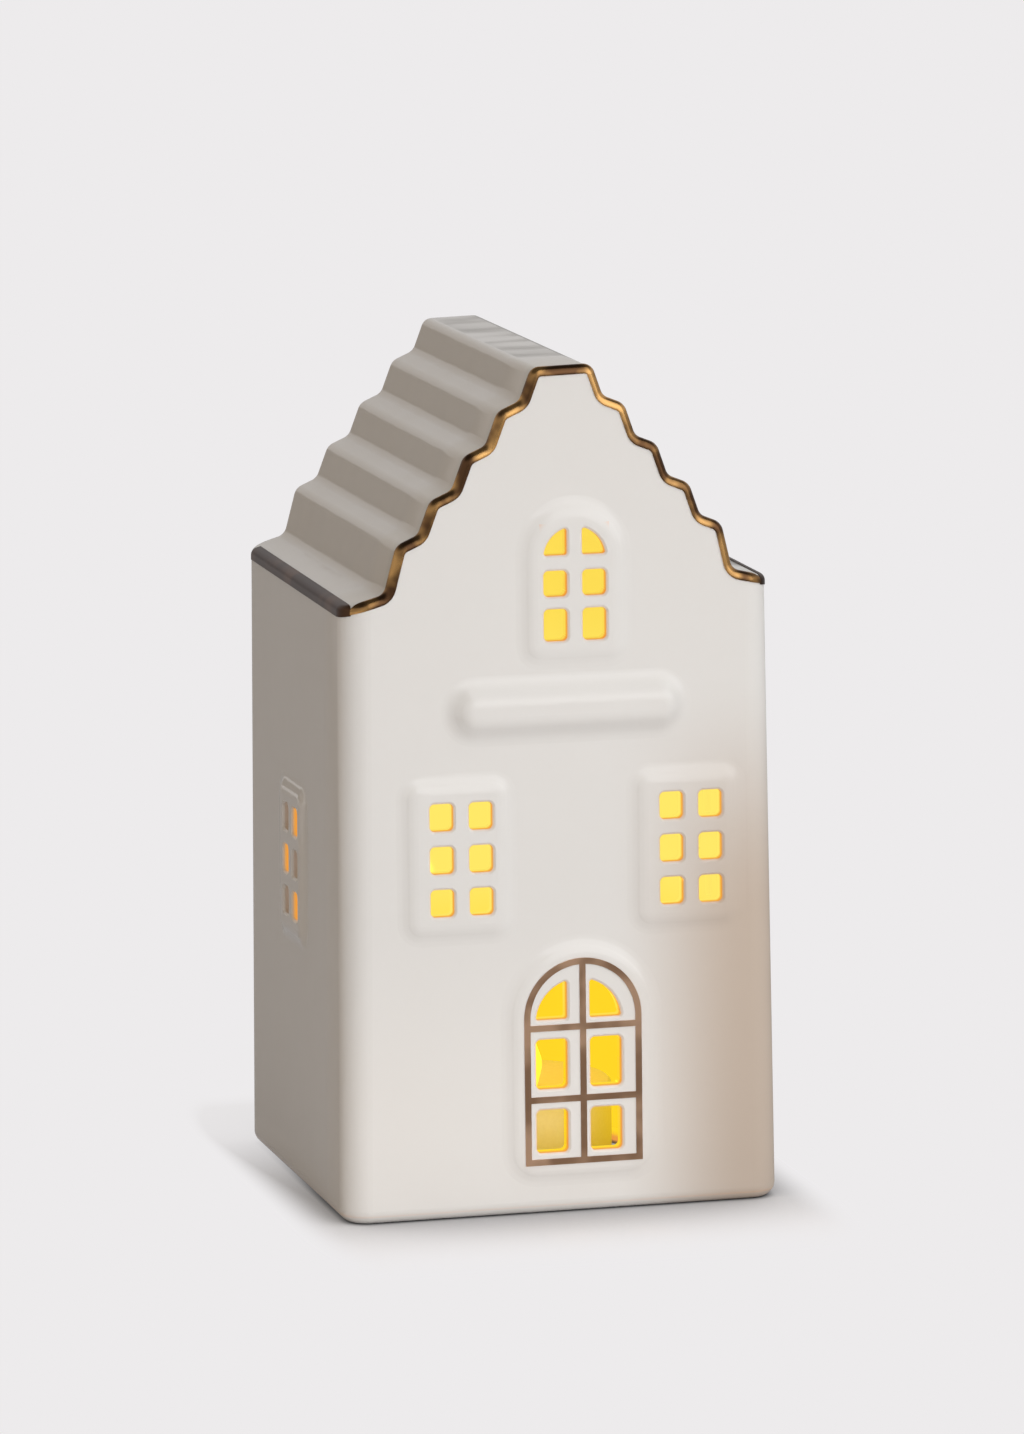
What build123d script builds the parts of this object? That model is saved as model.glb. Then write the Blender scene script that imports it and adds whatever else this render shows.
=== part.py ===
from build123d import *
import math
import os

# A porcelain tealight house with a stepped roof, standing over an LED tealight.
# Millimetres, +Z up, the front gable faces -Y. The pieces are modelled about the middle of the walls and
# then set back by half the front relief, so that the origin lies on the table under the middle of the whole.

# House walls
body_width = 80.0          # across the side walls at the foot, corners taken as sharp
eave_width = 77.4          # across the side walls at the eaves
body_depth = 78.0
eave_height = 111.4
wall = 2.6
floor_thickness = 4.0
corner_radius = 5.0        # upright corners
foot_radius = 2.5
foot_rim = 7.0             # standing rim, measured in from the walls
foot_recess = 1.0
base_hole = 47.0           # pour hole in the floor, wide enough to pass over the tealight
hole_bevel = 1.0

# Stepped roof
ridge_height = 151.4
ridge_width = 10.6
ridge_shift = 0.9          # the casting leans a little to the right
eave_tilt = 2.0            # the right eave sits this much above the left
roof_dip = 0.65            # degrees, down towards the front
roof_turn = 0.5            # degrees, round to the right at the front
step_count = 4
step_run = 6.0
step_rise = 7.42
riser_lean = 2.1
tread_rise = 1.65
eave_tread_rise = 1.9
nose_radius = 2.5
valley_radius = 2.3
ridge_radius = 2.0
arris_radius = 1.2         # rounded edge between roof and walls

# Relief on the front, measured from the middle of the front and up from the table
facade_shift = 2.7         # door and windows stand right of the middle
pad_relief = 0.9
pad_slope = 24.0           # degrees, flank of a pad against the wall
pad_edge = 4.0             # rounding at the top of the flank
pad_root = 4.6             # hollow at its foot
pad_corner = 2.5           # halfway up the flank, seen from the front
mouth_bevel = 0.4          # at the mouth of a pane
pane_corner = 0.9

# Two-by-three windows
window_width = 17.9        # halfway up the flank
window_height = 26.9
window_spread = 41.8       # between the two front windows
window_level = 64.8
side_window_level = 58.9
pane_width = 4.3
pane_height = 4.9
pane_pitch = 7.1
row_pitch = 7.64
row_count = 3
pane_drift = 0.7           # panes sit right of the middle of their frame
blind_depth = 1.2          # side panes that are pressed in but not pierced

# Arched gable window
gable_window_width = 17.2
gable_shift = 0.15         # from the middle of the door and windows
gable_window_sill = 99.6
gable_window_height = 26.8
gable_pane_width = 4.3
gable_pane_pitch = 7.05
gable_low_sill = 102.7
gable_low_height = 5.7
gable_mid_sill = 110.6
gable_mid_height = 4.6
gable_top_sill = 117.9
gable_top_height = 5.0

# Lintel bar
lintel_length = 40.0
lintel_height = 7.0
lintel_relief = 2.4
lintel_slope = 38.0
lintel_edge = 3.2
lintel_root = 3.6
lintel_level = 90.8
lintel_offset = -1.4       # from the middle of the door and windows

# Arched door with gold lines
door_width = 21.4          # outside of the gold outline
door_shift = 0.7           # gold and pad from the middle of the panes
door_sill = 9.1
door_height = 37.0
door_margin = 2.1          # pad beyond the gold outline
door_pane_width = 5.8
door_pane_pitch = 9.9
door_low_sill = 11.2
door_low_height = 7.8
door_mid_sill = 22.7
door_mid_height = 9.0
door_top_sill = 35.2
door_top_height = 7.2
low_bar_level = 20.9
high_bar_level = 33.8
gold_line = 1.1
gold_thickness = 0.2
gable_gold_width = 1.4     # on the face of the gable
eave_gold_width = 1.6

# LED tealight
tealight_diameter = 37.0
tealight_height = 16.5
cup_wall = 1.2
cup_ledge = 0.6
cup_rim = 1.6
dish_depth = 2.0
dish_collar = 7.5
rim_bevel = 0.5
flame_hole = 10.4
base_recess = 0.6          # bottom plate above the table
base_thickness = 3.0
fit_gap = 0.1              # between pieces that are pressed or glued together
slide_gap = 0.3            # between pieces that move

# Battery, its well and door
cell_diameter = 20.0
cell_height = 3.2
cell_step = 1.2
cell_cap_height = 0.5
cell_gap = 0.4
cell_offset = -2.0         # well axis from the tealight axis
well_wall = 1.2
spring_height = 1.5
roof_thickness = 1.0
cover_disc = 23.6
cover_inset = 0.1          # battery door above the bottom plate's face
cover_thickness = 1.5
lip_thickness = 0.7
lug_reach = 1.4
lug_thickness = 0.6
lug_angle = 32.0
cover_turn = 40.0          # turn from locked to free
coin_slot_length = 13.0
coin_slot_width = 1.8
coin_slot_depth = 0.7

# Contacts, lamp and flame lens
strip = 0.3
strip_width = 4.0
side_strip = 1.6
leaf_length = 15.0
leaf_foot = 3.0
leaf_crown = 6.0
post_radius = 3.7
post_height = 3.4
lead = 0.5
lead_pitch = 2.54
lead_gap = 0.25
lamp_diameter = 5.0
lamp_flange = 5.8
lamp_flange_height = 1.0
lamp_height = 8.6
lens_wall = 0.9
lens_flange = 13.6
lens_flange_height = 1.0
lens_belly = 12.4          # where its flanks would meet
lens_belly_level = 19.5
lens_round = 5.0
lens_tip = 37.0

# Switch
switch_reach = 14.0        # from the tealight axis
switch_travel = 3.0
stem_length = 3.0
stem_width = 1.8
stem_drop = 0.2            # stem below the bottom plate
slider_length = 4.6
slider_width = 2.8
slider_height = 0.9
cam_length = 1.6

# Worked-out levels and places
front = -body_depth / 2
taper = (body_width - eave_width) / 2 / eave_height
lean = math.degrees(math.atan(taper))
block_height = ridge_height + ridge_width
base_top = base_recess + base_thickness
cover_bottom = base_recess + cover_inset
cover_top = cover_bottom + cover_thickness
groove_floor = base_recess + lip_thickness
cell_bottom = cover_top + slide_gap
cell_top = cell_bottom + cell_height
roof_bottom = cell_top + spring_height
roof_top = roof_bottom + roof_thickness
lamp_seat = roof_top + post_height
plate_bottom = tealight_height - dish_depth - cup_wall
well_radius = cell_diameter / 2 + cell_gap
setback = lintel_relief / 2
door_middle = facade_shift + door_shift
facing_front = Plane(origin=(0, front, 0), x_dir=(1, 0, 0), z_dir=(0, -1, 0))


def half_width(level):
    return body_width / 2 - taper * level


def skewed(x, z):
    rise = (z - eave_height) / (ridge_height - eave_height)
    return x + ridge_shift * rise, z + eave_tilt * x / eave_width


def roof_side(side):
    # From the ridge corner down the valleys and noses of one slope, to a point beyond the eave
    points = [(ridge_width / 2, ridge_height)]
    for step in range(1, step_count + 1):
        nose = ridge_width / 2 + step_run * step
        level = ridge_height - step_rise * step
        points.append((nose - step_run + riser_lean, level + tread_rise))
        points.append((nose, level))
    valley = ridge_width / 2 + step_run * step_count + riser_lean
    slope = eave_tread_rise / (eave_width / 2 - valley)
    overhang = body_width / 2 + wall
    points.append((valley, eave_height + eave_tread_rise))
    points.append((overhang, eave_height - slope * (overhang - eave_width / 2)))
    return [skewed(side * x, z) for x, z in points]


def roof_face(grow):
    # Front view of everything under the stepped roof
    slope = roof_side(1)
    outline = list(reversed(roof_side(-1))) + slope
    steps = [valley_radius, nose_radius] * step_count + [valley_radius, 0]
    radii = list(reversed([ridge_radius] + steps)) + [ridge_radius] + steps
    top = FilletPolyline(*outline, radius=radii[1:-1])
    ground = -body_width
    low = Polyline(top @ 1, (slope[-1][0], ground), (-slope[-1][0], ground), top @ 0)
    face = make_face(top + low)
    return offset(face, grow, kind=Kind.INTERSECTION) if grow else face


def along_ridge(face):
    # A front view drawn out from front to back, on the roof's own line
    return Rot(roof_dip, 0, roof_turn) * extrude(Plane.XZ * face, body_depth, both=True)


def wall_block(inset, bottom):
    # Tapered four-wall block with rounded upright corners
    low = half_width(bottom) - inset
    high = half_width(block_height) - inset
    face = make_face(
        Polyline((-low, bottom), (low, bottom), (high, block_height), (-high, block_height), close=True)
    )
    block = extrude(Plane.XZ * face, body_depth / 2 - inset, both=True)
    uprights = [edge for edge in block.edges() if edge.bounding_box().size.Z > eave_height]
    return fillet(uprights, max(corner_radius - inset, wall / 2))


def house_outside(grow):
    body = wall_block(-grow, 0) & along_ridge(roof_face(grow))
    rim = [
        edge
        for edge in body.edges()
        if edge.center().Z > eave_height / 2
        and edge.bounding_box().size.Z < eave_height / 2
        and not (abs(edge.center().Y) < wall and abs(edge.center().X) < eave_width / 2 - wall)
    ]
    return fillet(rim, arris_radius + grow)


def depth_on(plane, spot):
    return plane.to_local_coords(spot).Z


def raise_pad(body, plane, outline, relief, slope, edge, root):
    # A raised pad with sloping flanks, hollowed at the foot and rounded at the top
    half_run = relief / math.tan(math.radians(slope)) / 2
    foot = outline(half_run)
    body += loft([plane * foot, plane.offset(relief) * outline(-half_run)], ruled=True)
    centre = foot.bounding_box().center()
    reach = foot.bounding_box().size / 2 + Vector(fit_gap, fit_gap)

    def lines_at(level):
        for line in body.edges():
            spots = [plane.to_local_coords(line @ share) for share in (0, 1 / 2, 1)]
            beside = spots[1] - centre
            flat = max(abs(spot.Z - level) for spot in spots) < fit_gap / 10
            if flat and abs(beside.X) < reach.X and abs(beside.Y) < reach.Y:
                yield line

    body = fillet(list(lines_at(0)), root)
    return fillet(list(lines_at(relief)), edge)


def arch(width, sill, height, shift):
    # Upright outline with a half-round top, standing on its sill
    spring = height - width / 2
    square = Pos(shift, sill + spring / 2) * Rectangle(width, spring)
    return square + Pos(shift, sill + spring) * Circle(width / 2)


def soft_arch(width, sill, height, shift, grow):
    # An arch set out all round by some distance, with rounded lower corners
    face = arch(width + 2 * grow, sill - grow, height + 2 * grow, shift)
    return fillet(face.vertices().sort_by(Axis.Y)[:2], pad_corner + grow)


def window_outline(shift, level, grow):
    place = Pos(shift - pane_drift, level)
    return place * RectangleRounded(window_width + 2 * grow, window_height + 2 * grow, pad_corner + grow)


def window_panes(shift, level):
    panes = []
    for row in range(row_count):
        for side in (-1, 1):
            height = level + (row - (row_count - 1) / 2) * row_pitch
            place = Pos(shift + side * pane_pitch / 2, height)
            panes.append(place * RectangleRounded(pane_width, pane_height, pane_corner))
    return panes


def plain_panes(shift, pitch, width, sill, height):
    pane = RectangleRounded(width, height, pane_corner)
    return [Pos(shift + side * pitch / 2, sill + height / 2) * pane for side in (-1, 1)]


def arched_panes(shift, pitch, width, sill, height):
    # A pair of panes under one arch: each is square inside and round outside
    outer = (pitch + width) / 2
    dome = Pos(shift, sill + height - outer) * Circle(outer)
    panes = []
    for side in (-1, 1):
        light = Pos(shift + side * pitch / 2, sill + height / 2) * Rectangle(width, height)
        cut = light & dome
        panes.append(fillet(cut.vertices(), pane_corner / 2))
    return panes


def front_panes():
    panes = []
    for side in (-1, 1):
        panes += window_panes(facade_shift + side * window_spread / 2, window_level)
    gable = facade_shift + gable_shift, gable_pane_pitch, gable_pane_width
    panes += plain_panes(*gable, gable_low_sill, gable_low_height)
    panes += plain_panes(*gable, gable_mid_sill, gable_mid_height)
    panes += arched_panes(*gable, gable_top_sill, gable_top_height)
    door = facade_shift, door_pane_pitch, door_pane_width
    panes += plain_panes(*door, door_low_sill, door_low_height)
    panes += plain_panes(*door, door_mid_sill, door_mid_height)
    panes += arched_panes(*door, door_top_sill, door_top_height)
    return panes


def gable_pad(grow):
    middle = facade_shift + gable_shift
    return soft_arch(gable_window_width, gable_window_sill, gable_window_height, middle, grow)


def door_pad(grow):
    return soft_arch(door_width, door_sill, door_height, door_middle, door_margin + grow)


def lintel_bar(grow):
    bar = SlotOverall(lintel_length + 2 * grow, lintel_height + 2 * grow)
    return Pos(facade_shift + lintel_offset, lintel_level) * bar


def add_front_relief(body):
    soft = pad_relief, pad_slope, pad_edge, pad_root
    for side in (-1, 1):
        middle = facade_shift + side * window_spread / 2
        body = raise_pad(body, facing_front, lambda grow: window_outline(middle, window_level, grow), *soft)
    body = raise_pad(body, facing_front, gable_pad, *soft)
    body = raise_pad(body, facing_front, door_pad, *soft)
    return raise_pad(body, facing_front, lintel_bar, lintel_relief, lintel_slope, lintel_edge, lintel_root)


def side_plane(side):
    # Lies on a side wall with its origin at the middle of the wall's window
    out = Vector(side * math.cos(math.radians(lean)), 0, math.sin(math.radians(lean)))
    spot = (side * half_width(side_window_level), 0, side_window_level)
    return Plane(origin=spot, x_dir=(0, side, 0), z_dir=out)


def add_side_window(body, side):
    soft = pad_relief, pad_slope, pad_edge, pad_root
    return raise_pad(body, side_plane(side), lambda grow: window_outline(0, 0, grow), *soft)


def cut_side_panes(body, side):
    # Every other pane is pierced; the rest are only pressed in
    plane = side_plane(side)
    mouth = plane.offset(pad_relief)
    for number, pane in enumerate(window_panes(0, 0)):
        row, column = divmod(number, 2)
        rear = column == (1 if side > 0 else 0)
        pierced = rear == (row % 2 == 1)
        depth = 2 * wall + pad_relief if pierced else blind_depth
        body -= extrude(mouth * pane, -depth)
    return body


def ease_mouths(body, plane):
    # Eased rims of the panes on the pads' faces
    rims = []
    for face in body.faces():
        if abs(depth_on(plane, face.center())) < fit_gap / 10:
            for wire in face.inner_wires():
                rims += wire.edges()
    return chamfer(rims, mouth_bevel)


def inside_space():
    # Hollow one wall inside the block and inside a smooth roof through the valleys of the steps
    slope = roof_side(1)
    other = roof_side(-1)
    low = -body_width
    edge = Polyline(
        (slope[-1][0], low), slope[-1], slope[-2], slope[1], slope[0],
        other[0], other[1], other[-2], other[-1], (other[-1][0], low),
        close=True,
    )
    face = offset(make_face(edge), -wall, kind=Kind.INTERSECTION)
    return wall_block(wall, floor_thickness) & along_ridge(face)


def make_house_shell(outside):
    body = fillet(outside.faces().sort_by(Axis.Z)[0].edges(), foot_radius)
    body = add_front_relief(body)
    for side in (-1, 1):
        body = add_side_window(body, side)
    body -= inside_space()
    rim_width = body_width - 2 * foot_rim
    rim_depth = body_depth - 2 * foot_rim
    body -= extrude(RectangleRounded(rim_width, rim_depth, corner_radius), foot_recess)
    body -= extrude(Circle(base_hole / 2), floor_thickness)
    ring = body.edges().filter_by(GeomType.CIRCLE)
    body = chamfer([edge for edge in ring if abs(edge.radius - base_hole / 2) < fit_gap], hole_bevel)
    mouth = facing_front.offset(pad_relief)
    for pane in front_panes():
        body -= extrude(mouth * pane, -(wall + pad_relief + corner_radius))
    body = ease_mouths(body, mouth)
    for side in (-1, 1):
        body = cut_side_panes(body, side)
        body = ease_mouths(body, side_plane(side).offset(pad_relief))
    return body


def gold_band(skin, width):
    # The part of a thin skin over the house that lies within a width of the roof's outline
    return skin & along_ridge(roof_face(body_depth) - roof_face(-width))


def make_gable_gold(skin):
    near = front + arris_radius
    slab = Pos(0, near - body_depth / 2, ridge_height) * Box(2 * body_width, body_depth, 2 * ridge_height)
    return gold_band(skin, gable_gold_width) & slab


def make_eave_gold(skin, side):
    near = front + arris_radius
    far = body_depth / 2 - corner_radius
    edge = eave_width / 2 - eave_gold_width
    middle = Pos(side * (edge + body_width / 2), (near + far) / 2, eave_height)
    return gold_band(skin, eave_gold_width) & (middle * Box(body_width, far - near, eave_height))


def door_arch(margin):
    # The door's outline, set out from the gold by a margin
    return arch(door_width + 2 * margin, door_sill - margin, door_height + 2 * margin, door_middle)


def make_door_outline():
    ring = door_arch(0) - door_arch(-gold_line)
    return extrude(facing_front.offset(pad_relief) * ring, gold_thickness)


def make_door_bars():
    bars = Pos(door_middle, door_sill + door_height / 2) * Rectangle(gold_line, door_height)
    for level in (low_bar_level, high_bar_level):
        bars += Pos(door_middle, level) * Rectangle(door_width, gold_line)
    return extrude(facing_front.offset(pad_relief) * (bars & door_arch(-gold_line)), gold_thickness)


def turned(*points):
    # A ring turned about the tealight's axis from its half section
    return revolve(Plane.XZ * make_face(Polyline(*points, close=True)), Axis.Z)


def make_tealight_cup():
    radius = tealight_diameter / 2
    seat = radius - cup_wall
    inner = seat - cup_ledge
    hole = flame_hole / 2
    dish = tealight_height - dish_depth
    cup = turned(
        (radius, 0), (radius, tealight_height), (radius - cup_rim, tealight_height),
        (dish_collar, dish), (hole, dish), (hole, plate_bottom), (inner, plate_bottom),
        (inner, base_top), (seat, base_top), (seat, 0),
    )
    rims = [edge for edge in cup.edges() if abs(edge.center().Z - tealight_height) < fit_gap]
    return chamfer(rims, rim_bevel)


def sector(radius, angle, turn):
    # Two opposite slices of a disc
    half = math.radians(angle / 2)
    reach = 2 * radius
    wedge = make_face(
        Polyline(
            (0, 0), (reach, -reach * math.tan(half)), (reach, reach * math.tan(half)), close=True
        )
    )
    both = wedge + Rot(0, 0, 180) * wedge
    return Rot(0, 0, turn) * (Circle(radius) & both)


def column(outline, bottom, top):
    return extrude(Pos(0, 0, bottom) * outline, top - bottom)


def make_tealight_base():
    well = Pos(cell_offset, 0)
    disc = tealight_diameter / 2 - cup_wall - fit_gap
    lug_radius = cover_disc / 2 + lug_reach + slide_gap
    base = column(Circle(disc), base_recess, base_top)
    base += column(well * Circle(well_radius + well_wall), base_recess, roof_top)
    base += column(Circle(post_radius), roof_top, lamp_seat)
    base -= column(well * Circle(well_radius), base_recess, roof_bottom)
    base -= column(well * Circle(lug_radius), groove_floor, cell_bottom)
    base -= column(well * Circle(cover_disc / 2 + slide_gap), base_recess, groove_floor)
    play = 2 * math.degrees(slide_gap / lug_radius)
    base -= column(well * sector(lug_radius, lug_angle + play, cover_turn), base_recess, groove_floor)
    slot = Rectangle(stem_width + 2 * slide_gap, stem_length + switch_travel + 2 * slide_gap)
    base -= column(Pos(switch_reach, 0) * slot, base_recess, base_top)
    pass_through = Rectangle(lead + 2 * lead_gap, lead + 2 * lead_gap)
    base -= column(Pos(0, -lead_pitch / 2) * pass_through, roof_bottom, lamp_seat)
    base -= column(Pos(0, lead_pitch / 2) * pass_through, roof_top, lamp_seat)
    channel = Pos(post_radius, lead_pitch / 2) * Rectangle(2 * post_radius, lead + 2 * lead_gap)
    base -= column(channel, roof_top, roof_top + lead + lead_gap)
    wall_middle = Pos(cell_offset + well_radius + well_wall / 2, 0)
    window = wall_middle * Rectangle(2 * well_wall, side_strip + 2 * slide_gap)
    return base - column(window, cell_top, roof_bottom)


def make_battery_door():
    disc = column(Circle(cover_disc / 2), cover_bottom, cover_top)
    lugs = sector(cover_disc / 2 + lug_reach, lug_angle, 0)
    slot = Rectangle(coin_slot_length, coin_slot_width)
    door = disc + column(lugs, cover_top - lug_thickness, cover_top)
    door -= column(slot, cover_bottom, cover_bottom + coin_slot_depth)
    return Pos(cell_offset, 0, 0) * door


def make_coin_cell():
    shoulder = cell_top - cell_cap_height
    cell = column(Circle(cell_diameter / 2), cell_bottom, shoulder)
    cell += column(Circle(cell_diameter / 2 - cell_step), shoulder, cell_top)
    return Pos(cell_offset, 0, 0) * cell


def make_negative_contact():
    # Bowed leaf: its feet bear on the roof of the well, its crown on the cell
    foot = leaf_length / 2
    heel = foot - leaf_foot
    crown = leaf_crown / 2
    low, high = cell_top, roof_bottom - strip
    upper = [(-foot, high), (-heel, high), (-crown, low), (crown, low), (heel, high), (foot, high)]
    lower = [(x, z + strip) for x, z in reversed(upper)]
    leaf = make_face(Polyline(*upper, *lower, close=True))
    return Pos(cell_offset, 0, 0) * extrude(Plane.XZ * leaf, strip_width / 2, both=True)


def make_positive_contact():
    # Upright blade beside the cell, turned out over the switch
    near = cell_offset + cell_diameter / 2 + (cell_gap - strip) / 2
    level = cell_top + strip
    far = switch_reach + slider_width / 2
    blade = make_face(
        Polyline(
            (near, cell_bottom), (near, level + strip), (far, level + strip), (far, level),
            (near + strip, level), (near + strip, cell_bottom), close=True,
        )
    )
    return extrude(Plane.XZ * blade, side_strip / 2, both=True)


def make_led_lamp():
    dome = lamp_diameter / 2
    shoulder = lamp_seat + lamp_height - dome
    lamp = column(Circle(lamp_flange / 2), lamp_seat, lamp_seat + lamp_flange_height)
    lamp += column(Circle(dome), lamp_seat, shoulder)
    lamp += Pos(0, 0, shoulder) * Sphere(dome)
    wire = Rectangle(lead, lead)
    back = column(Pos(0, -lead_pitch / 2) * wire, cell_top + strip, lamp_seat)
    rise = column(Pos(0, lead_pitch / 2) * wire, roof_top, lamp_seat)
    run = Pos(switch_reach / 2, lead_pitch / 2) * Rectangle(switch_reach + lead, lead)
    drop = column(
        Pos(switch_reach, lead_pitch / 2) * wire, cell_top + 2 * strip + slide_gap, roof_top
    )
    return lamp + back + rise + column(run, roof_top, roof_top + lead) + drop


def flame(inset):
    # Solid of a pointed flame, set in by the wall for the hollow
    neck = flame_hole / 2 - slide_gap - inset
    belly = lens_belly / 2 - inset
    collar = tealight_height - dish_depth + inset
    tip = lens_tip - 2 * inset
    flank = FilletPolyline((neck, collar), (belly, lens_belly_level), (0, tip), radius=lens_round - inset)
    floor = plate_bottom - lens_flange_height
    rest = Polyline((0, tip), (0, floor), (neck, floor), (neck, collar))
    return revolve(Plane.XZ * make_face(flank + rest), Axis.Z)


def make_flame_lens():
    flange = column(Circle(lens_flange / 2), plate_bottom - lens_flange_height, plate_bottom)
    return flange + flame(0) - flame(lens_wall)


def make_switch_slider():
    bottom = base_recess - stem_drop
    seat = base_top + fit_gap
    top = seat + slider_height
    slider = column(Rectangle(slider_width, slider_length), seat, top)
    slider += column(Rectangle(stem_width, stem_length), bottom, seat)
    slider += column(Rectangle(stem_width, cam_length), top, cell_top + strip - slide_gap)
    return Pos(switch_reach, -switch_travel / 2, 0) * slider


outside = house_outside(0)
gilding = house_outside(gold_thickness) - outside
pieces = {
    "house_shell": make_house_shell(outside),
    "gable_gold_line": make_gable_gold(gilding),
    "left_eave_gold_line": make_eave_gold(gilding, -1),
    "right_eave_gold_line": make_eave_gold(gilding, 1),
    "door_gold_outline": make_door_outline(),
    "door_gold_bars": make_door_bars(),
    "tealight_cup": make_tealight_cup(),
    "tealight_base": make_tealight_base(),
    "flame_lens": make_flame_lens(),
    "led_lamp": make_led_lamp(),
    "coin_cell": make_coin_cell(),
    "negative_contact": make_negative_contact(),
    "positive_contact": make_positive_contact(),
    "switch_slider": make_switch_slider(),
    "battery_door": make_battery_door(),
}
os.makedirs("parts", exist_ok=True)
for name, piece in pieces.items():
    export_step(Pos(0, setback, 0) * piece, f"parts/{name}.step")
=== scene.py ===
import math

import bpy
from mathutils import Matrix, Vector

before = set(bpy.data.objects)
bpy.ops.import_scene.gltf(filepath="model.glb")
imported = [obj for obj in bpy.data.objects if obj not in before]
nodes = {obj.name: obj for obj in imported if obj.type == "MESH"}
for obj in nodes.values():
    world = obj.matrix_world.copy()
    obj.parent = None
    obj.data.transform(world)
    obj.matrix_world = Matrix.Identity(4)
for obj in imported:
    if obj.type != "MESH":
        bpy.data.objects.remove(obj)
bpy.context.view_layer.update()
scene = bpy.context.scene
scene.view_settings.view_transform = "Standard"
mm = 0.001
print("frame loaded:", len(nodes), "nodes")


def colour(code):  # sRGB hex to linear
    parts = [int(code[place:place + 2], 16) / 255 for place in (1, 3, 5)]
    linear = [part / 12.92 if part <= 0.04045 else ((part + 0.055) / 1.055) ** 2.4 for part in parts]
    return (*linear, 1)


def addNode(tree, kind, settings=None, inputs=None):  # a value is set on its socket, a socket is linked
    made = tree.nodes.new(kind)
    for name, value in (settings or {}).items():
        setattr(made, name, value)
    for name, value in (inputs or {}).items():
        if isinstance(value, bpy.types.NodeSocket):
            tree.links.new(value, made.inputs[name])
        else:
            made.inputs[name].default_value = value
    return made


def calc(tree, operation, *values):  # one sum, its result as a socket
    return addNode(tree, "ShaderNodeMath", {"operation": operation}, dict(enumerate(values))).outputs[0]


def ramp(tree, value, start, end):  # 0 to 1 between two values, with soft ends
    return addNode(tree, "ShaderNodeMapRange", {"interpolation_type": "SMOOTHSTEP"}, {
        "Value": value, "From Min": start, "From Max": end}).outputs[0]


def rampMm(tree, value, span):  # the same between two distances in mm
    return ramp(tree, value, span[0] * mm, span[1] * mm)


def blend(tree, share, low, high):
    return addNode(tree, "ShaderNodeMix", {"data_type": "RGBA"}, {0: share, 6: low, 7: high}).outputs[2]


def noise(tree, place, size, detail):  # size in mm
    return addNode(tree, "ShaderNodeTexNoise", None, {
        "Vector": place, "Scale": 1 / (size * mm), "Detail": detail}).outputs[0]


def newMaterial(name):
    made = bpy.data.materials.new(name)
    made.use_nodes = True
    made.node_tree.nodes.clear()
    return made, made.node_tree


def dress(material, *names):
    for name in names:
        mesh = nodes[name].data
        mesh.materials.clear()
        mesh.materials.append(material)


# camera: the photograph's view, from the left and a little above
view = {
    "yaw": math.radians(14.309),
    "pitch": math.radians(9.165),
    "roll": math.radians(-0.676),
    "distance": 1436.2 * mm,
    "aim": Vector((1.113, 0.45, 83.23)) * mm,
    "lens": 199.86,
    "sensor": 36.0,
    "clip": 10 * mm,
}


def placeCamera():
    yaw, pitch, roll = view["yaw"], view["pitch"], view["roll"]
    back = Vector((-math.sin(yaw) * math.cos(pitch), -math.cos(yaw) * math.cos(pitch), math.sin(pitch)))
    level = back.cross(Vector((0, 0, -1))).normalized()
    upright = back.cross(level)
    right = math.cos(roll) * level + math.sin(roll) * upright
    up = math.cos(roll) * upright - math.sin(roll) * level
    data = bpy.data.cameras.new("camera")
    data.sensor_fit = "VERTICAL"
    data.sensor_height = view["sensor"]
    data.lens = view["lens"]
    data.clip_start = view["clip"]
    camera = bpy.data.objects.new("camera", data)
    scene.collection.objects.link(camera)
    turn = Matrix((right, up, back)).transposed().to_4x4()
    camera.matrix_world = Matrix.Translation(view["aim"] + back * view["distance"]) @ turn
    scene.camera = camera


placeCamera()
print("camera placed")

# light: a large soft key from the upper right, a small low card, an even fill, and the lit tealight
light = {
    "background": "#EDEBEC",
    "fill": 0.345,
    "fillColour": "#FCFFFD",
    "fillLeft": "#FFE4C0",
    "cardLow": 0.38,     # what the glaze and the gold mirror round the horizon, above it and overhead
    "cardHigh": 0.78,
    "cardAbove": 0.12,
    "horizon": (0.12, 0.17),   # rise of the view where one tone passes into the next
    "overhead": (0.45, 0.75),
    "leftward": (-0.2, 0.8),
    "keySize": 1200 * mm,
    "keyFrom": Vector((420, -760, 640)) * mm,
    "keyAim": Vector((0, 0, 80)) * mm,
    "keyPower": 6.5,
    "keyColour": "#FAFBFD",
    "lowSize": 200 * mm,
    "lowFrom": Vector((10, -380, 20)) * mm,
    "lowAim": Vector((0, 0, 30)) * mm,
    "lowPower": 0.75,
    "lowColour": "#FBFBFD",
    "flameAt": Vector((0, 1.2, 42)) * mm,
    "flamePower": 0.01,
    "flameColour": "#FFB030",
    "flameRadius": 4 * mm,
}


def addLamp(name, kind, place, power, tint):
    data = bpy.data.lights.new(name, kind)
    data.energy = power
    data.color = colour(tint)[:3]
    lamp = bpy.data.objects.new(name, data)
    lamp.location = place
    scene.collection.objects.link(lamp)
    return lamp


def seenDirectly(tree):  # 1 for what the lens or a mirror shows, 0 for what lights the scene
    path = addNode(tree, "ShaderNodeLightPath").outputs
    mirrored = calc(tree, "MAXIMUM", path["Is Camera Ray"], path["Is Glossy Ray"])
    return calc(tree, "MAXIMUM", mirrored, path["Is Transmission Ray"])


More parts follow.
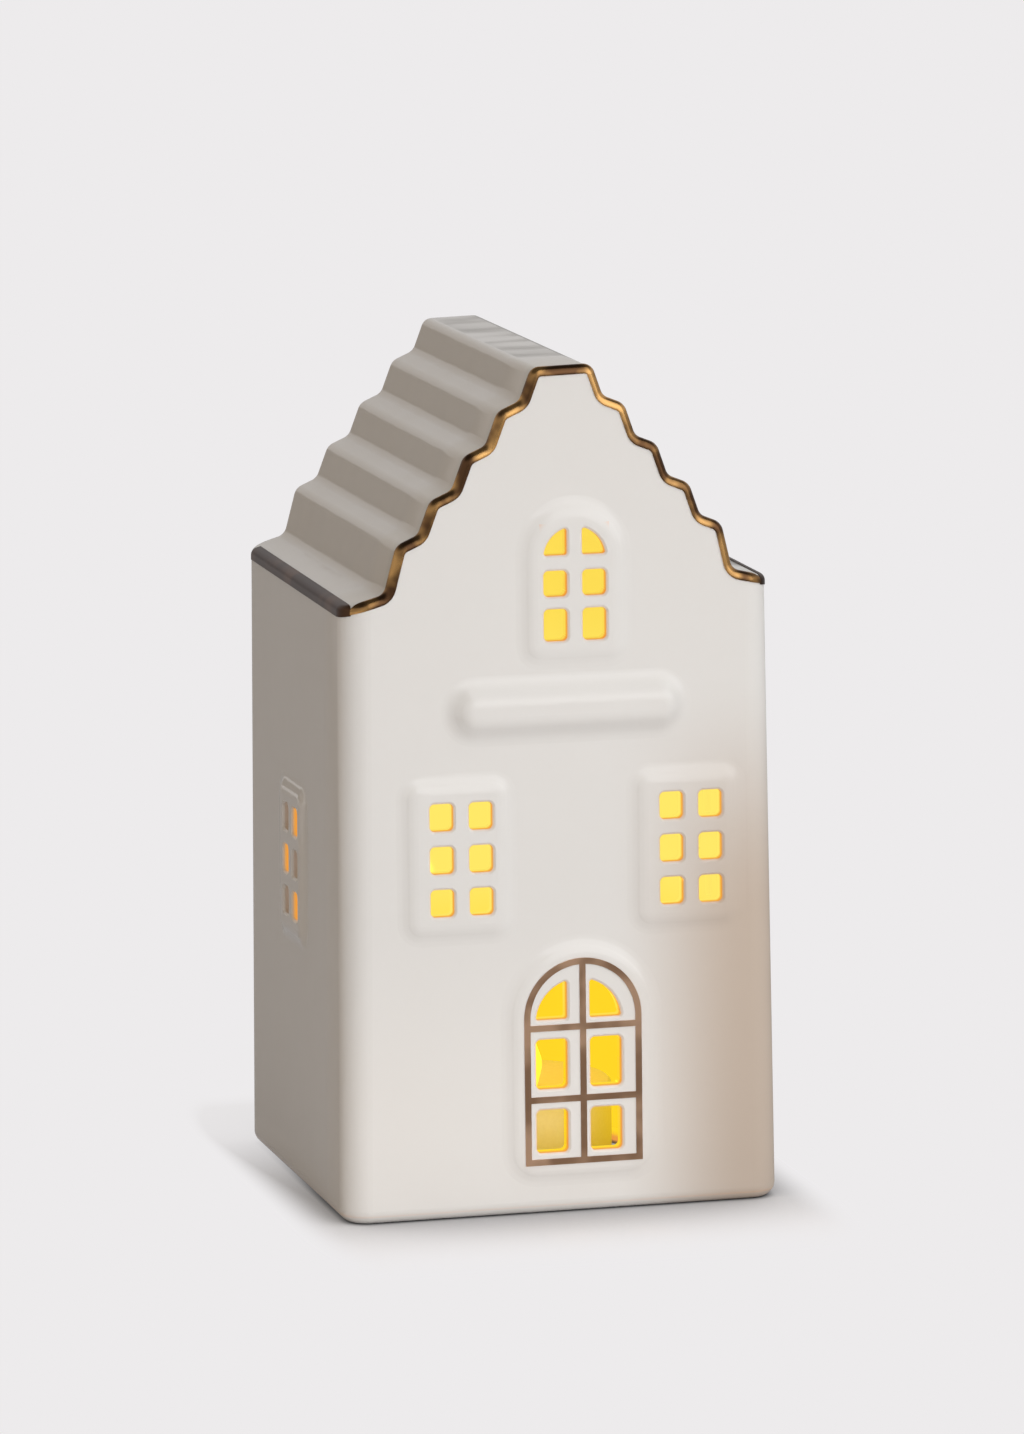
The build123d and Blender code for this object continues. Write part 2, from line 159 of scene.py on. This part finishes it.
def lightScene():
    for name, part in (("key_softbox", "key"), ("low_card", "low")):
        card = addLamp(name, "AREA", light[part + "From"], light[part + "Power"], light[part + "Colour"])
        card.data.size = light[part + "Size"]
        card.visible_glossy = part == "key"
        ahead = light[part + "Aim"] - light[part + "From"]
        card.rotation_euler = ahead.to_track_quat("-Z", "Y").to_euler()
    glow = addLamp("tealight_glow", "POINT", light["flameAt"], light["flamePower"], light["flameColour"])
    glow.data.shadow_soft_size = light["flameRadius"]
    glow.visible_camera = False
    world = bpy.data.worlds.new("studio")
    scene.world = world
    world.use_nodes = True
    tree = world.node_tree
    tree.nodes.clear()
    way = addNode(tree, "ShaderNodeSeparateXYZ", None, {
        0: addNode(tree, "ShaderNodeTexCoord").outputs["Generated"]}).outputs
    rising = ramp(tree, way["Z"], *light["horizon"])
    around = calc(tree, "MULTIPLY_ADD", rising, light["cardHigh"] - light["cardLow"], light["cardLow"])
    upward = ramp(tree, way["Z"], *light["overhead"])
    dimmed = calc(tree, "SUBTRACT", light["cardAbove"], around)
    mirrored = calc(tree, "MULTIPLY_ADD", upward, dimmed, around)
    leftward = ramp(tree, calc(tree, "MULTIPLY", way["X"], -1.0), *light["leftward"])
    fill = addNode(tree, "ShaderNodeBackground", None, {
        "Color": blend(tree, leftward, colour(light["fillColour"]), colour(light["fillLeft"])),
        "Strength": light["fill"]})
    shown = addNode(tree, "ShaderNodeBackground", None, {
        "Color": colour(light["background"]), "Strength": mirrored})
    both = addNode(tree, "ShaderNodeMixShader", None, {
        0: seenDirectly(tree), 1: fill.outputs[0], 2: shown.outputs[0]})
    addNode(tree, "ShaderNodeOutputWorld", None, {"Surface": both.outputs[0]})


lightScene()
print("lights placed")

# floor: a plain pale table; its shading fades to the even backdrop a little way from the house
table = {
    "size": 12.0,
    "albedo": "#D8D6D7",
    "lift": 0.44,
    "halfWidth": 40.0,   # mm, the house's foot
    "halfDepth": 39.0,
    "middle": 1.2,
    "reach": 9.0,        # mm beside the house
    "squeeze": 0.22,     # the shading reaches further in front than beside
    "contact": 36.0,     # mm, reach of the soft contact shadow
    "mirrorNear": 0.45,  # what the glaze and the gold mirror of it, near and far to the left
    "mirrorFar": 0.95,
    "mirrorFade": (300.0, 450.0),
    "rear": (-20.0, 50.0),   # mm, the shading thins out towards the back
    "rearShare": 0.8,
}


def layFloor():
    bpy.ops.object.select_all(action="DESELECT")
    bpy.ops.mesh.primitive_plane_add(size=table["size"], location=(0, 0, 0))
    floor = bpy.context.object
    floor.name = "table_top"
    material, tree = newMaterial("pale_table")
    place = addNode(tree, "ShaderNodeSeparateXYZ", None, {
        0: addNode(tree, "ShaderNodeTexCoord").outputs["Object"]}).outputs
    across = calc(tree, "ABSOLUTE", place["X"])
    beside = calc(tree, "MAXIMUM", calc(tree, "SUBTRACT", across, table["halfWidth"] * mm), 0.0)
    ahead = calc(tree, "ABSOLUTE", calc(tree, "SUBTRACT", place["Y"], table["middle"] * mm))
    ahead = calc(tree, "MAXIMUM", calc(tree, "SUBTRACT", ahead, table["halfDepth"] * mm), 0.0)
    ahead = calc(tree, "MULTIPLY", ahead, table["squeeze"])
    spread = calc(tree, "ADD", calc(tree, "POWER", beside, 2.0), calc(tree, "POWER", ahead, 2.0))
    away = calc(tree, "SQRT", spread)
    seen = seenDirectly(tree)
    rear = calc(tree, "MULTIPLY", rampMm(tree, place["Y"], table["rear"]), table["rearShare"])
    faded = calc(tree, "MAXIMUM", rampMm(tree, away, (0.0, table["reach"])), rear)
    even = calc(tree, "MULTIPLY", seen, faded)
    contact = addNode(tree, "ShaderNodeAmbientOcclusion", None, {
        "Color": colour(table["albedo"]), "Distance": table["contact"] * mm}).outputs
    matt = addNode(tree, "ShaderNodeBsdfDiffuse", None, {"Color": contact["Color"]})
    lifted = calc(tree, "MULTIPLY", contact["AO"], table["lift"])
    lift = addNode(tree, "ShaderNodeEmission", None, {
        "Color": colour(light["background"]), "Strength": calc(tree, "MULTIPLY", seen, lifted)})
    shaded = addNode(tree, "ShaderNodeAddShader", None, {0: matt.outputs[0], 1: lift.outputs[0]})
    mirrored = addNode(tree, "ShaderNodeLightPath").outputs["Is Glossy Ray"]
    farLeft = rampMm(tree, calc(tree, "MULTIPLY", place["X"], -1.0), table["mirrorFade"])
    gain = table["mirrorFar"] - table["mirrorNear"]
    dimmed = calc(tree, "MULTIPLY_ADD", farLeft, gain, table["mirrorNear"] - 1)
    plain = addNode(tree, "ShaderNodeEmission", None, {
        "Color": colour(light["background"]), "Strength": calc(tree, "MULTIPLY_ADD", mirrored, dimmed, 1.0)})
    both = addNode(tree, "ShaderNodeMixShader", None, {0: even, 1: shaded.outputs[0], 2: plain.outputs[0]})
    addNode(tree, "ShaderNodeOutputMaterial", None, {"Surface": both.outputs[0]})
    floor.data.materials.append(material)


layFloor()
print("floor laid")

# slip-cast porcelain under a clear glaze: warm white body, wet shine, slow ripples from mould and kiln; the
# inside of the wall carries a painted yellow glow and the cut edges of the panes a painted orange glow, in
# place of the tealight's light
glaze = {
    "white": "#E8E5E1",
    "warm": "#E4DFD9",
    "face": "#D9D6D2",       # painted shade, darker on the front from the door upwards
    "faceFrom": (33.0, 37.0),    # mm towards the front
    "faceRise": (5.0, 62.0),     # mm above the table
    "shade": "#BEAE9F",      # painted shade, warmer and darker, low on the right
    "shadeFrom": (8.0, 34.0),    # mm to the right
    "shadeFall": (-98.0, -52.0),     # mm, counted downwards
    "patch": 38.0,           # mm across
    "ripple": 16.0,          # mm between swells
    "rippleDepth": 0.05,
    "roofDepth": 0.30,       # the roof was finished by hand and is wavier
    "flare": 1.4,            # mm, its surface falls away towards the gable
    "flareRun": 15.0,
    "peel": 2.4,             # mm, faint orange peel
    "peelDepth": 0.004,
    "roughness": 0.45,
    "coatRoughness": 0.05,
    "coatIndex": 1.5,
    "halfWidth": 40.0,
    "taper": 1.3 / 111.4,
    "halfDepth": 39.0,
    "middle": 1.2,
    "corner": 5.0,
    "padRelief": 0.9,
    "roofSlope": (0.803, 0.596),
    "roofLine": 90.9,        # mm, just under the valleys of the steps
    "ridgeLine": 149.3,      # mm, just under the ridge
    "footLine": 1.2,
    "frontLine": -30.0,      # mm, the panes of the front lie before this
    "roofFrom": (104.0, 112.0),
    "litFrom": (0.02, 1.0),  # mm inside the outer faces
    "innerFrom": (1.2, 2.5),
    "midFrom": (25.0, 50.0),     # mm above the table, where one tone of the glow passes into the next
    "highFrom": (75.0, 100.0),
    # painted glow: the inside is darkened to this, under the painted glow tones below
    "darkUnderGlow": "#2A1A0C",
    "edgeGlow": "#F09A3C",
    "lowGlow": "#FFD628",
    "midGlow": "#FDE868",
    "highGlow": "#FBDC54",
}
paneZones = {                # mm, the glow of the cut edges is kept to these
    "left_window": {"middle": -18.2, "half": 6.3, "level": 64.8, "rise": 10.7},
    "right_window": {"middle": 23.6, "half": 6.3, "level": 64.8, "rise": 10.7},
    "gable_window": {"middle": 2.85, "half": 6.3, "level": 112.8, "rise": 10.7},
    "door": {"middle": 2.7, "half": 8.4, "level": 26.8, "rise": 16.2},
    "side_low_pane": {"middle": -2.35, "half": 2.7, "level": 51.3, "rise": 3.0},
    "side_mid_pane": {"middle": 4.75, "half": 2.7, "level": 58.9, "rise": 3.0},
    "side_top_pane": {"middle": -2.35, "half": 2.7, "level": 66.5, "rise": 3.0},
}


def insideDepth(tree, x, y, z):  # metres in from the outer faces
    corner = glaze["corner"] * mm
    across = calc(tree, "ABSOLUTE", x)
    flank = calc(tree, "MULTIPLY_ADD", z, glaze["taper"], corner - glaze["halfWidth"] * mm)
    beside = calc(tree, "MAXIMUM", calc(tree, "ADD", across, flank), 0.0)
    along = calc(tree, "ABSOLUTE", calc(tree, "SUBTRACT", y, glaze["middle"] * mm))
    ahead = calc(tree, "MAXIMUM", calc(tree, "SUBTRACT", along, glaze["halfDepth"] * mm - corner), 0.0)
    spread = calc(tree, "ADD", calc(tree, "POWER", beside, 2.0), calc(tree, "POWER", ahead, 2.0))
    walls = calc(tree, "SUBTRACT", corner, calc(tree, "SQRT", spread))
    rise = calc(tree, "MULTIPLY", z, glaze["roofSlope"][1])
    slope = calc(tree, "MULTIPLY_ADD", across, glaze["roofSlope"][0], rise)
    roof = calc(tree, "SUBTRACT", glaze["roofLine"] * mm, slope)
    roof = calc(tree, "MINIMUM", roof, calc(tree, "SUBTRACT", glaze["ridgeLine"] * mm, z))
    floor = calc(tree, "SUBTRACT", z, glaze["footLine"] * mm)
    return calc(tree, "MINIMUM", walls, calc(tree, "MINIMUM", roof, floor))


def nearPanes(tree, x, y, z):  # 1 where the wall is pierced by panes
    front = calc(tree, "LESS_THAN", y, glaze["frontLine"] * mm)
    found = 0.0
    for name, zone in paneZones.items():
        along = y if name.startswith("side") else x
        beside = calc(tree, "ABSOLUTE", calc(tree, "SUBTRACT", along, zone["middle"] * mm))
        above = calc(tree, "ABSOLUTE", calc(tree, "SUBTRACT", z, zone["level"] * mm))
        within = calc(tree, "MULTIPLY", calc(tree, "LESS_THAN", beside, zone["half"] * mm),
                      calc(tree, "LESS_THAN", above, zone["rise"] * mm))
        if along is x:
            within = calc(tree, "MULTIPLY", within, front)
        found = calc(tree, "MAXIMUM", found, within)
    return found


def makeGlaze():
    material, tree = newMaterial("glazed_slipcast_porcelain")
    place = addNode(tree, "ShaderNodeTexCoord").outputs["Object"]
    x, y, z = addNode(tree, "ShaderNodeSeparateXYZ", None, {0: place}).outputs
    forward = calc(tree, "MULTIPLY", y, -1.0)
    fallen = calc(tree, "MULTIPLY", z, -1.0)
    patch = noise(tree, place, glaze["patch"], 3.0)
    body = blend(tree, patch, colour(glaze["white"]), colour(glaze["warm"]))
    # painted shade on the front, growing upwards to above the door
    frontal = rampMm(tree, forward, glaze["faceFrom"])
    paintedFaceShade = calc(tree, "MULTIPLY", frontal, rampMm(tree, z, glaze["faceRise"]))
    body = blend(tree, paintedFaceShade, body, colour(glaze["face"]))
    # painted shade, darker and warmer low on the right
    rightward = rampMm(tree, x, glaze["shadeFrom"])
    downward = rampMm(tree, fallen, glaze["shadeFall"])
    body = blend(tree, calc(tree, "MULTIPLY", rightward, downward), body, colour(glaze["shade"]))
    # painted glow on the inside of the wall and the cut edges of the panes, over a dark base
    panes = nearPanes(tree, x, y, z)
    depth = calc(tree, "MULTIPLY_ADD", panes, glaze["padRelief"] * mm, insideDepth(tree, x, y, z))
    lit = rampMm(tree, depth, glaze["litFrom"])
    inner = rampMm(tree, depth, glaze["innerFrom"])
    glow = blend(tree, rampMm(tree, z, glaze["midFrom"]), colour(glaze["lowGlow"]), colour(glaze["midGlow"]))
    glow = blend(tree, rampMm(tree, z, glaze["highFrom"]), glow, colour(glaze["highGlow"]))
    glow = blend(tree, inner, colour(glaze["edgeGlow"]), glow)
    body = blend(tree, lit, body, colour(glaze["darkUnderGlow"]))
    onRoof = rampMm(tree, z, glaze["roofFrom"])
    wavier = glaze["roofDepth"] - glaze["rippleDepth"]
    swellSize = calc(tree, "MULTIPLY_ADD", onRoof, wavier, glaze["rippleDepth"])
    swellSize = calc(tree, "MULTIPLY", swellSize, noise(tree, place, glaze["ripple"], 1.0))
    edge = glaze["halfDepth"] - glaze["middle"]
    fall = rampMm(tree, forward, (edge - glaze["flareRun"], edge + glaze["flareRun"]))
    fall = calc(tree, "MULTIPLY", fall, -2 * glaze["flare"])
    swell = addNode(tree, "ShaderNodeBump", None, {
        "Height": calc(tree, "ADD", swellSize, fall), "Distance": mm})
    skin = addNode(tree, "ShaderNodeBump", None, {
        "Height": noise(tree, place, glaze["peel"], 0.0), "Distance": glaze["peelDepth"] * mm,
        "Normal": swell.outputs[0]})
    shader = addNode(tree, "ShaderNodeBsdfPrincipled", None, {
        "Base Color": body, "Roughness": glaze["roughness"], "IOR": glaze["coatIndex"],
        "Specular IOR Level": 0.0, "Coat Weight": 1.0, "Coat Roughness": glaze["coatRoughness"],
        "Coat Normal": skin.outputs[0], "Normal": swell.outputs[0],
        "Emission Color": glow, "Emission Strength": lit})
    addNode(tree, "ShaderNodeOutputMaterial", None, {"Surface": shader.outputs[0]})
    return material


dress(makeGlaze(), "house_shell")
print("house glazed")

# gold lustre brushed on by hand and fired: thin metal, brown where it is thin, bright where it is thick
golds = {
    "fired_gold_lustre": {
        "thick": "#CFA063", "thin": "#5E432D", "stroke": 6.0, "roughness": 0.26, "depth": 0.05,
        "nodes": ("gable_gold_line",)},
    "brown_fired_lustre": {
        "thick": "#5E4431", "thin": "#3F2C20", "stroke": 12.0, "roughness": 0.38, "depth": 0.03,
        "nodes": ("left_eave_gold_line", "right_eave_gold_line")},
    "thin_gold_lustre": {
        "thick": "#DDB595", "thin": "#A88468", "stroke": 9.0, "roughness": 0.34, "depth": 0.03,
        "nodes": ("door_gold_outline", "door_gold_bars")},
}
brush = {"edge": (0.40, 0.64), "detail": 2.0}  # how sharply thin passes into thick


def makeGold(name, look):
    material, tree = newMaterial(name)
    place = addNode(tree, "ShaderNodeTexCoord").outputs["Object"]
    stroke = noise(tree, place, look["stroke"], brush["detail"])
    share = ramp(tree, stroke, *brush["edge"])
    tone = blend(tree, share, colour(look["thin"]), colour(look["thick"]))
    bump = addNode(tree, "ShaderNodeBump", None, {"Height": stroke, "Distance": look["depth"] * mm})
    shader = addNode(tree, "ShaderNodeBsdfPrincipled", None, {
        "Base Color": tone, "Metallic": 1.0, "Roughness": look["roughness"], "Normal": bump.outputs[0]})
    addNode(tree, "ShaderNodeOutputMaterial", None, {"Surface": shader.outputs[0]})
    return material


for name, look in golds.items():
    dress(makeGold(name, look), *look["nodes"])
print("gold lines painted")

# the tealight: moulded plastic with a fine satin grain, drawn steel and stamped brass with a soft shine
plastics = {
    "tealight_ivory_abs": {
        "low": "#DDD6C2", "high": "#E8E2D0", "roughness": 0.42, "grain": 0.8, "depth": 0.01,
        "nodes": ("tealight_cup", "tealight_base", "battery_door")},
    "switch_black_abs": {
        "low": "#141414", "high": "#1E1E1E", "roughness": 0.5, "grain": 0.5, "depth": 0.01,
        "nodes": ("switch_slider",)},
}
metals = {
    "nickelled_cell_steel": {
        "low": "#A9A9A8", "high": "#C9C9C7", "roughness": 0.3, "grain": 0.4, "depth": 0.004,
        "nodes": ("coin_cell",)},
    "stamped_spring_brass": {
        "low": "#B59A62", "high": "#D2BA80", "roughness": 0.32, "grain": 0.6, "depth": 0.004,
        "nodes": ("negative_contact", "positive_contact")},
}


def makeSatin(name, look, metallic):
    material, tree = newMaterial(name)
    place = addNode(tree, "ShaderNodeTexCoord").outputs["Object"]
    grain = noise(tree, place, look["grain"], 2.0)
    tone = blend(tree, grain, colour(look["low"]), colour(look["high"]))
    bump = addNode(tree, "ShaderNodeBump", None, {"Height": grain, "Distance": look["depth"] * mm})
    shader = addNode(tree, "ShaderNodeBsdfPrincipled", None, {
        "Base Color": tone, "Metallic": metallic, "Roughness": look["roughness"], "Normal": bump.outputs[0]})
    addNode(tree, "ShaderNodeOutputMaterial", None, {"Surface": shader.outputs[0]})
    return material


for name, look in plastics.items():
    dress(makeSatin(name, look, 0.0), *look["nodes"])
for name, look in metals.items():
    dress(makeSatin(name, look, 1.0), *look["nodes"])

# frosted flame and its lamp: translucent mouldings lit from inside, hottest low down
flame = {"low": "#FFC93C", "high": "#FFD84A", "foot": 13.0, "tip": 37.0, "roughness": 0.35, "strength": 0.9}


def makeFlame(name, strength):
    material, tree = newMaterial(name)
    place = addNode(tree, "ShaderNodeTexCoord").outputs["Object"]
    level = addNode(tree, "ShaderNodeSeparateXYZ", None, {0: place}).outputs["Z"]
    height = addNode(tree, "ShaderNodeMapRange", None, {
        "Value": level, "From Min": flame["foot"] * mm, "From Max": flame["tip"] * mm})
    tone = blend(tree, height.outputs[0], colour(flame["low"]), colour(flame["high"]))
    shader = addNode(tree, "ShaderNodeBsdfPrincipled", None, {
        "Base Color": tone, "Roughness": flame["roughness"], "Emission Color": tone,
        "Emission Strength": strength})
    addNode(tree, "ShaderNodeOutputMaterial", None, {"Surface": shader.outputs[0]})
    return material


dress(makeFlame("frosted_flame_lens", flame["strength"]), "flame_lens")
dress(makeFlame("clear_lamp_resin", flame["strength"] / 2), "led_lamp")
print("tealight dressed")
